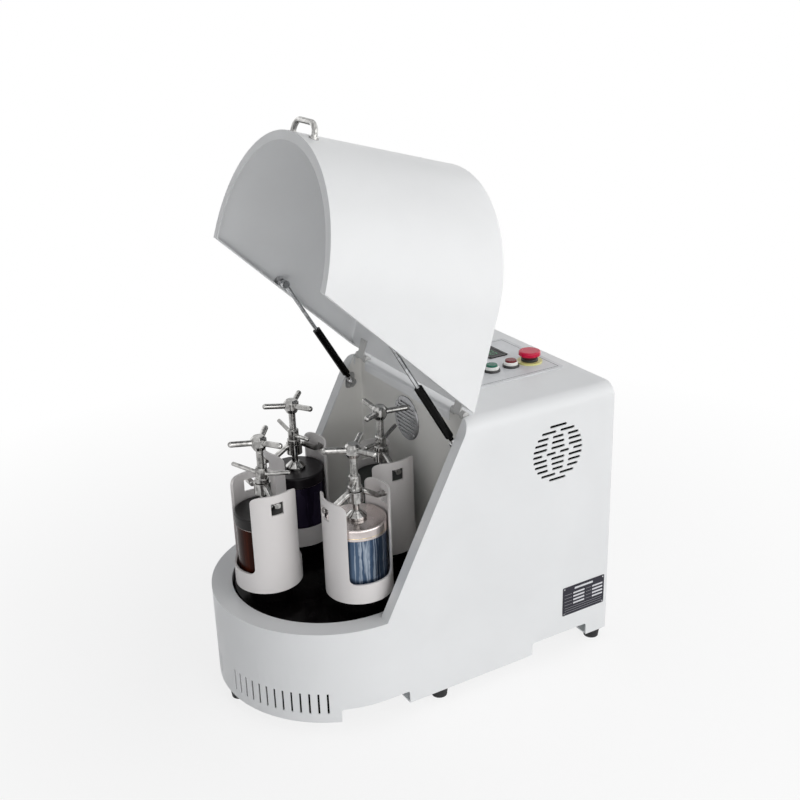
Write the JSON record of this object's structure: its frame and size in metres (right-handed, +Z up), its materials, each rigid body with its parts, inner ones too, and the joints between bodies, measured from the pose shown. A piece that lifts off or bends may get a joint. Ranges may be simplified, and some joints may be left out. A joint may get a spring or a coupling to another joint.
{
  "type": "planetary ball mill",
  "caption": "Bench planetary ball mill: a round-nosed sheet-metal casing with a hinged lid over a turntable that carries clamped grinding jars, and a control panel on top.",
  "frame": {"origin": "on the bench, under the middle of the casing's footprint", "axes": "+Z up, -Y towards the round front with the jars, +X to the right-hand side with the round side vent; the lid is open at rest"},
  "size_m": [0.47, 0.7619, 1.1091],
  "materials": {
    "casing_paint": "off-white powder coat, slightly satin",
    "lid_paint": "off-white powder coat outside, grey inside",
    "liner_paint": "grey powder coat",
    "rear_panel_paint": "off-white powder coat",
    "holder_paint": "off-white smooth enamel",
    "panel_face": "printed membrane face, light grey",
    "display_window": "smoked window in a dark frame",
    "vent_disc": "brushed sheet with slots under a wire screen",
    "galvanised": "zinc plated sheet",
    "machined_steel": "turned and milled steel",
    "cast_iron": "painted casting",
    "black_turntable": "gloss black",
    "chrome": "polished chrome plate",
    "strut_black": "black tube paint",
    "strut_rod": "ground chrome rod",
    "stud_steel": "dark zinc stud",
    "hinge_steel": "light grey painted steel",
    "motor_paint": "grey-blue motor paint",
    "controller_case": "dark grey moulded case",
    "black_rubber": "black rubber",
    "inlet_plastic": "black moulding",
    "bezel_white": "white moulding",
    "button_green": "green moulding",
    "button_red": "dark red moulding",
    "estop_red": "red moulding",
    "estop_yellow": "yellow ring",
    "jar_front_body": "dark brown-red lined jar",
    "jar_front_lid": "matt black lid",
    "jar_right_body": "steel jar",
    "jar_right_lid": "pale metal lid",
    "jar_left_body": "dark violet jar",
    "jar_left_lid": "black lid",
    "jar_back_body": "dark green jar",
    "jar_back_lid": "black lid"
  },
  "bodies": {
    "casing": {"main_casing": "casing_paint", "rear_panel": "rear_panel_paint", "mounting_plate": "galvanised", "rubber_feet": "black_rubber", "chamber_liner": "liner_paint", "chamber_vent": "vent_disc", "control_panel": "panel_face", "display": "display_window", "button_bezels": "bezel_white", "estop_collar": "estop_yellow", "mains_inlet": "inlet_plastic", "casing_hinge_leaves": "hinge_steel", "casing_strut_studs": "stud_steel", "bearing_housing": "cast_iron", "sun_gear": "machined_steel", "motor": "motor_paint", "speed_controller": "controller_case", "drive_belt": "black_rubber"},
    "turntable": {"turntable": "black_turntable", "drive_shaft": "machined_steel"},
    "motor_rotor": {"motor_pulley": "machined_steel"},
    "lid": {"lid_shell": "lid_paint", "lid_handle": "chrome", "lid_hinge_leaves": "hinge_steel", "lid_strut_studs": "stud_steel"},
    "strut_tube_left": {"strut_tube_left": "strut_black"},
    "strut_tube_right": {"strut_tube_right": "strut_black"},
    "strut_rod_left": {"strut_rod_left": "strut_rod"},
    "strut_rod_right": {"strut_rod_right": "strut_rod"},
    "start_button": {"start_button": "button_green"},
    "stop_button": {"stop_button": "button_red"},
    "emergency_stop": {"emergency_stop": "estop_red"},
    "station_front": {"planet_spindle_front": "machined_steel", "jar_holder_front": "holder_paint", "grinding_jar_front": "jar_front_body", "jar_lid_front": "jar_front_lid"},
    "clamp_screw_front": {"clamp_screw_front": "chrome"},
    "clamp_bar_front": {"clamp_bar_front": "chrome"},
    "lock_nut_front": {"lock_nut_front": "chrome"},
    "station_right": {"planet_spindle_right": "machined_steel", "jar_holder_right": "holder_paint", "grinding_jar_right": "jar_right_body", "jar_lid_right": "jar_right_lid"},
    "clamp_screw_right": {"clamp_screw_right": "chrome"},
    "clamp_bar_right": {"clamp_bar_right": "chrome"},
    "lock_nut_right": {"lock_nut_right": "chrome"},
    "station_left": {"planet_spindle_left": "machined_steel", "jar_holder_left": "holder_paint", "grinding_jar_left": "jar_left_body", "jar_lid_left": "jar_left_lid"},
    "clamp_screw_left": {"clamp_screw_left": "chrome"},
    "clamp_bar_left": {"clamp_bar_left": "chrome"},
    "lock_nut_left": {"lock_nut_left": "chrome"},
    "station_back": {"planet_spindle_back": "machined_steel", "jar_holder_back": "holder_paint", "grinding_jar_back": "jar_back_body", "jar_lid_back": "jar_back_lid"},
    "clamp_screw_back": {"clamp_screw_back": "chrome"},
    "clamp_bar_back": {"clamp_bar_back": "chrome"},
    "lock_nut_back": {"lock_nut_back": "chrome"}
  },
  "joints": [
    {"name": "turntable_spin", "type": "hinge", "parent": "casing", "child": "turntable", "pos_m": [0, -0.146, 0.2], "axis": [0, 0, 1], "continuous": true},
    {"name": "motor_spin", "type": "hinge", "parent": "casing", "child": "motor_rotor", "pos_m": [0, 0.184, 0.1], "axis": [0, 0, 1], "continuous": true},
    {"name": "lid_hinge", "type": "hinge", "parent": "casing", "child": "lid", "pos_m": [0, 0.0502, 0.5766], "axis": [1, 0, 0], "range_deg": [0, 106.3]},
    {"name": "strut_swing_left", "type": "hinge", "parent": "casing", "child": "strut_tube_left", "pos_m": [-0.2, 0.0292, 0.521], "axis": [1, 0, 0], "range_deg": [0, 113.52]},
    {"name": "strut_slide_left", "type": "slide", "parent": "strut_tube_left", "child": "strut_rod_left", "axis": [0, -0.5037, 0.8639], "range_m": [-0.0909, 0]},
    {"name": "strut_swing_right", "type": "hinge", "parent": "casing", "child": "strut_tube_right", "pos_m": [0.2, 0.0292, 0.521], "axis": [1, 0, 0], "range_deg": [0, 113.52]},
    {"name": "strut_slide_right", "type": "slide", "parent": "strut_tube_right", "child": "strut_rod_right", "axis": [0, -0.5037, 0.8639], "range_m": [-0.0909, 0]},
    {"name": "start_button_press", "type": "slide", "parent": "casing", "child": "start_button", "axis": [0, 0, -1], "range_m": [0, 0.004], "stiffness_N_per_m": 400, "springref_m": -0.002},
    {"name": "stop_button_press", "type": "slide", "parent": "casing", "child": "stop_button", "axis": [0, 0, -1], "range_m": [0, 0.004], "stiffness_N_per_m": 400, "springref_m": -0.002},
    {"name": "emergency_stop_press", "type": "slide", "parent": "casing", "child": "emergency_stop", "axis": [0, 0, -1], "range_m": [0, 0.005], "stiffness_N_per_m": 800, "springref_m": -0.002},
    {"name": "planet_spin_front", "type": "hinge", "parent": "turntable", "child": "station_front", "pos_m": [0, -0.2755, 0.2], "axis": [0, 0, 1], "continuous": true},
    {"name": "clamp_screw_turn_front", "type": "hinge", "parent": "station_front", "child": "clamp_screw_front", "pos_m": [0, -0.2755, 0.529], "axis": [0, 0, 1], "range_deg": [0, 1800]},
    {"name": "clamp_bar_drop_front", "type": "slide", "parent": "station_front", "child": "clamp_bar_front", "axis": [0, 0, 1], "range_m": [-0.0101, 0]},
    {"name": "lock_nut_turn_front", "type": "hinge", "parent": "clamp_bar_front", "child": "lock_nut_front", "pos_m": [0, -0.2755, 0.472], "axis": [0, 0, 1], "range_deg": [0, 180]},
    {"name": "planet_spin_right", "type": "hinge", "parent": "turntable", "child": "station_right", "pos_m": [0.1295, -0.146, 0.2], "axis": [0, 0, 1], "continuous": true},
    {"name": "clamp_screw_turn_right", "type": "hinge", "parent": "station_right", "child": "clamp_screw_right", "pos_m": [0.1295, -0.146, 0.529], "axis": [0, 0, 1], "range_deg": [0, 1800]},
    {"name": "clamp_bar_drop_right", "type": "slide", "parent": "station_right", "child": "clamp_bar_right", "axis": [0, 0, 1], "range_m": [-0.0101, 0]},
    {"name": "lock_nut_turn_right", "type": "hinge", "parent": "clamp_bar_right", "child": "lock_nut_right", "pos_m": [0.1295, -0.146, 0.472], "axis": [0, 0, 1], "range_deg": [0, 180]},
    {"name": "planet_spin_left", "type": "hinge", "parent": "turntable", "child": "station_left", "pos_m": [-0.1295, -0.146, 0.2], "axis": [0, 0, 1], "continuous": true},
    {"name": "clamp_screw_turn_left", "type": "hinge", "parent": "station_left", "child": "clamp_screw_left", "pos_m": [-0.1295, -0.146, 0.529], "axis": [0, 0, 1], "range_deg": [0, 1800]},
    {"name": "clamp_bar_drop_left", "type": "slide", "parent": "station_left", "child": "clamp_bar_left", "axis": [0, 0, 1], "range_m": [-0.0101, 0]},
    {"name": "lock_nut_turn_left", "type": "hinge", "parent": "clamp_bar_left", "child": "lock_nut_left", "pos_m": [-0.1295, -0.146, 0.472], "axis": [0, 0, 1], "range_deg": [0, 180]},
    {"name": "planet_spin_back", "type": "hinge", "parent": "turntable", "child": "station_back", "pos_m": [0, -0.0165, 0.2], "axis": [0, 0, 1], "continuous": true},
    {"name": "clamp_screw_turn_back", "type": "hinge", "parent": "station_back", "child": "clamp_screw_back", "pos_m": [0, -0.0165, 0.529], "axis": [0, 0, 1], "range_deg": [0, 1800]},
    {"name": "clamp_bar_drop_back", "type": "slide", "parent": "station_back", "child": "clamp_bar_back", "axis": [0, 0, 1], "range_m": [-0.0101, 0]},
    {"name": "lock_nut_turn_back", "type": "hinge", "parent": "clamp_bar_back", "child": "lock_nut_back", "pos_m": [0, -0.0165, 0.472], "axis": [0, 0, 1], "range_deg": [0, 180]}
  ],
  "couplings": [
    {"joint": "motor_spin", "follows": "turntable_spin", "ratio": 2.625},
    {"joint": "strut_swing_left", "follows": "lid_hinge", "ratio": 1.0679},
    {"joint": "strut_slide_left", "follows": "lid_hinge", "m_per_rad": -0.048941},
    {"joint": "strut_swing_right", "follows": "lid_hinge", "ratio": 1.0679},
    {"joint": "strut_slide_right", "follows": "lid_hinge", "m_per_rad": -0.048941},
    {"joint": "planet_spin_front", "follows": "turntable_spin", "ratio": 1.8462},
    {"joint": "clamp_bar_drop_front", "follows": "clamp_screw_turn_front", "m_per_rad": -0.00031831},
    {"joint": "planet_spin_right", "follows": "turntable_spin", "ratio": 1.8462},
    {"joint": "clamp_bar_drop_right", "follows": "clamp_screw_turn_right", "m_per_rad": -0.00031831},
    {"joint": "planet_spin_left", "follows": "turntable_spin", "ratio": 1.8462},
    {"joint": "clamp_bar_drop_left", "follows": "clamp_screw_turn_left", "m_per_rad": -0.00031831},
    {"joint": "planet_spin_back", "follows": "turntable_spin", "ratio": 1.8462},
    {"joint": "clamp_bar_drop_back", "follows": "clamp_screw_turn_back", "m_per_rad": -0.00031831}
  ]
}
